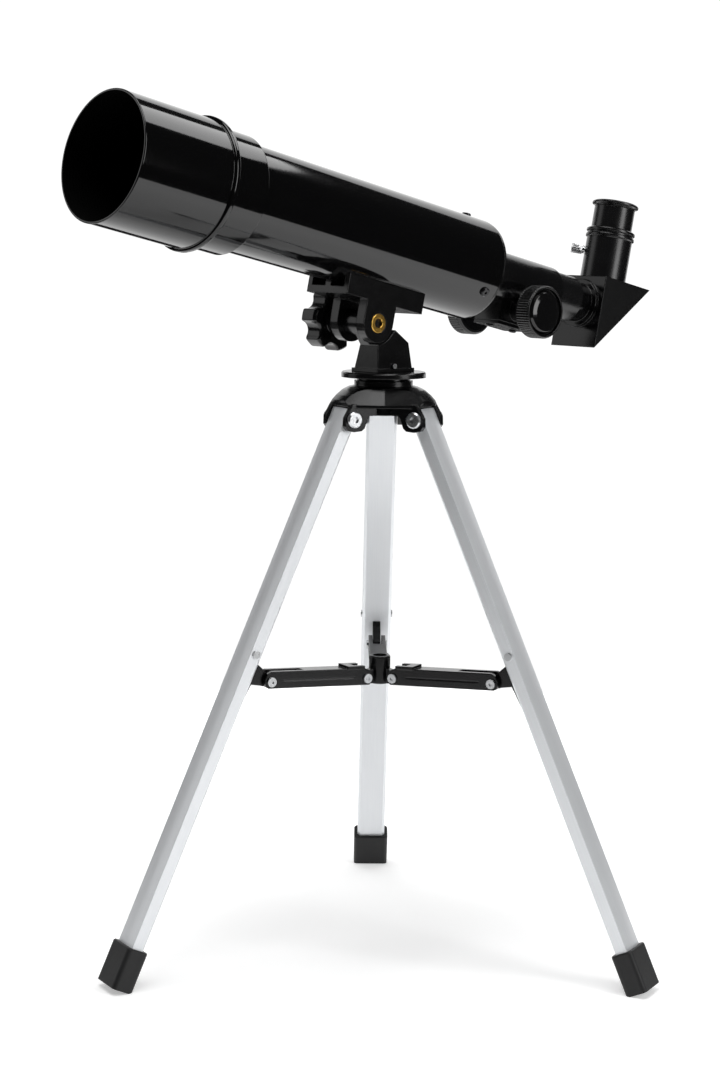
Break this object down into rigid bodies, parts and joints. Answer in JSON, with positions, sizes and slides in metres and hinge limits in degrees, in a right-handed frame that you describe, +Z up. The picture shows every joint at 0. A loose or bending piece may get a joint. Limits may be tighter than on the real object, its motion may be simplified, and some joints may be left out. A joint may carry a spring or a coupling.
{
  "type": "telescope on tripod",
  "caption": "Small black refracting telescope with a right-angle eyepiece, on a tilting and turning head and a folding aluminium table-top tripod.",
  "frame": {"origin": "on the floor, on the vertical axis through the tripod head's centre", "axes": "+Z up; +X is the way the telescope points; +Y is the side of the brass altitude insert, away from the altitude knob"},
  "size_m": [0.4263, 0.3134, 0.4989],
  "materials": {
    "aluminium": "satin clear anodised",
    "satin_black": "satin moulded black",
    "textured_black": "fine matte texture",
    "gloss_black": "high gloss black",
    "black_paint": "high gloss black enamel",
    "flat_black": "flat anti-glare black",
    "rubber": "matte black",
    "steel": "bright zinc-plated",
    "chrome": "polished",
    "brass": "turned",
    "glass": "coated optical glass",
    "mirror": "first-surface mirror"
  },
  "bodies": {
    "head": {"tripod_head": "satin_black", "pivot_bolt_1": "steel", "pivot_bolt_2": "steel", "pivot_bolt_3": "steel"},
    "leg_1": {"leg_1": "aluminium", "foot_1": "rubber", "leg_bracket_1": "satin_black", "bracket_rivet_1": "steel"},
    "leg_2": {"leg_2": "aluminium", "foot_2": "rubber", "leg_bracket_2": "satin_black", "bracket_rivet_2": "steel"},
    "leg_3": {"leg_3": "aluminium", "foot_3": "rubber", "leg_bracket_3": "satin_black", "bracket_rivet_3": "steel"},
    "spreader": {"spreader_hub": "satin_black"},
    "arm_1": {"spreader_arm_1": "satin_black", "arm_rivets_1": "steel"},
    "arm_2": {"spreader_arm_2": "satin_black", "arm_rivets_2": "steel"},
    "arm_3": {"spreader_arm_3": "satin_black", "arm_rivets_3": "steel"},
    "post": {"azimuth_post": "satin_black", "azimuth_flange": "satin_black", "azimuth_ring": "satin_black", "azimuth_bolt": "steel", "post_screw": "steel"},
    "telescope": {"saddle": "satin_black", "saddle_screws": "steel", "brass_insert": "brass", "main_tube": "black_paint", "lens_cell": "gloss_black", "objective_crown": "glass", "objective_flint": "glass", "lens_retainer": "flat_black", "tube_baffle": "flat_black", "tube_screws": "steel", "focuser_body": "gloss_black", "pinion_housing": "satin_black", "pinion_cover": "satin_black", "pinion_cover_screws": "steel"},
    "altitude_knob": {"altitude_knob": "satin_black", "altitude_bolt": "steel", "altitude_washer": "steel"},
    "dew_shield": {"dew_shield": "gloss_black"},
    "focus_knobs": {"pinion_shaft": "steel", "focus_knob_near": "satin_black", "focus_knob_far": "satin_black"},
    "draw_tube": {"draw_tube": "gloss_black", "focus_rack": "textured_black"},
    "diagonal": {"diagonal_body": "gloss_black", "diagonal_back": "textured_black", "diagonal_mirror": "mirror", "eyepiece_holder": "gloss_black"},
    "thumbscrew": {"eyepiece_thumbscrew": "chrome"},
    "eyepiece": {"eyepiece_barrel": "black_paint", "eyecup": "gloss_black", "eye_lens": "glass", "field_lens": "glass"}
  },
  "joints": [
    {"name": "leg_fold_1", "type": "hinge", "parent": "head", "child": "leg_1", "pos_m": [0.02685, -0.00546, 0.319], "axis": [0.1994, 0.9799, 0], "range_deg": [0, 20.5]},
    {"name": "leg_fold_2", "type": "hinge", "parent": "head", "child": "leg_2", "pos_m": [-0.00869, 0.02598, 0.319], "axis": [-0.9483, -0.3173, 0], "range_deg": [0, 20.5]},
    {"name": "leg_fold_3", "type": "hinge", "parent": "head", "child": "leg_3", "pos_m": [-0.01816, -0.02052, 0.319], "axis": [0.749, -0.6626, 0], "range_deg": [0, 20.5]},
    {"name": "spreader_rise", "type": "slide", "parent": "head", "child": "spreader", "axis": [0, 0, 1], "range_m": [0, 0.0546]},
    {"name": "arm_fold_1", "type": "hinge", "parent": "spreader", "child": "arm_1", "pos_m": [0.01127, -0.00229, 0.1648], "axis": [0.1994, 0.9799, 0], "range_deg": [0, 92]},
    {"name": "arm_fold_2", "type": "hinge", "parent": "spreader", "child": "arm_2", "pos_m": [-0.00365, 0.01091, 0.1648], "axis": [-0.9483, -0.3173, 0], "range_deg": [0, 92]},
    {"name": "arm_fold_3", "type": "hinge", "parent": "spreader", "child": "arm_3", "pos_m": [-0.00762, -0.00861, 0.1648], "axis": [0.749, -0.6626, 0], "range_deg": [0, 92]},
    {"name": "azimuth_turn", "type": "hinge", "parent": "head", "child": "post", "pos_m": [0, 0, 0.3422], "axis": [0, 0, 1], "continuous": true},
    {"name": "altitude_tilt", "type": "hinge", "parent": "post", "child": "telescope", "pos_m": [0.014, 0, 0.374], "axis": [0, -1, 0], "range_deg": [-32, 34]},
    {"name": "altitude_knob_turn", "type": "hinge", "parent": "telescope", "child": "altitude_knob", "pos_m": [0.014, 0, 0.374], "axis": [0, -1, 0], "range_deg": [-180, 180]},
    {"name": "dew_shield_slide", "type": "slide", "parent": "telescope", "child": "dew_shield", "axis": [0.9767, 0, 0.2147], "range_m": [0, 0.03]},
    {"name": "draw_slide", "type": "slide", "parent": "telescope", "child": "draw_tube", "axis": [-0.9767, 0, -0.2147], "range_m": [-0.014, 0.03]},
    {"name": "focus_turn", "type": "hinge", "parent": "telescope", "child": "focus_knobs", "pos_m": [-0.10767, -0.0072, 0.37879], "axis": [0, 1, 0], "range_deg": [-435, 205]},
    {"name": "diagonal_turn", "type": "hinge", "parent": "draw_tube", "child": "diagonal", "pos_m": [-0.17687, -0.0072, 0.382], "axis": [0.9767, 0, 0.2147], "continuous": true},
    {"name": "thumbscrew_turn", "type": "hinge", "parent": "diagonal", "child": "thumbscrew", "pos_m": [-0.20179, -0.0072, 0.41338], "axis": [0.6906, -0.7071, 0.1518], "range_deg": [-360, 360]},
    {"name": "eyepiece_slide", "type": "slide", "parent": "diagonal", "child": "eyepiece", "axis": [-0.2147, 0, 0.9767], "range_m": [0, 0.03]}
  ],
  "couplings": [
    {"joint": "leg_fold_2", "follows": "leg_fold_1", "ratio": 1},
    {"joint": "leg_fold_3", "follows": "leg_fold_1", "ratio": 1},
    {"joint": "spreader_rise", "follows": "leg_fold_1", "m_per_rad": 0.15259},
    {"joint": "arm_fold_1", "follows": "leg_fold_1", "ratio": 4.4874},
    {"joint": "arm_fold_2", "follows": "leg_fold_1", "ratio": 4.4874},
    {"joint": "arm_fold_3", "follows": "leg_fold_1", "ratio": 4.4874},
    {"joint": "focus_turn", "follows": "draw_slide", "rad_per_m": -250}
  ]
}
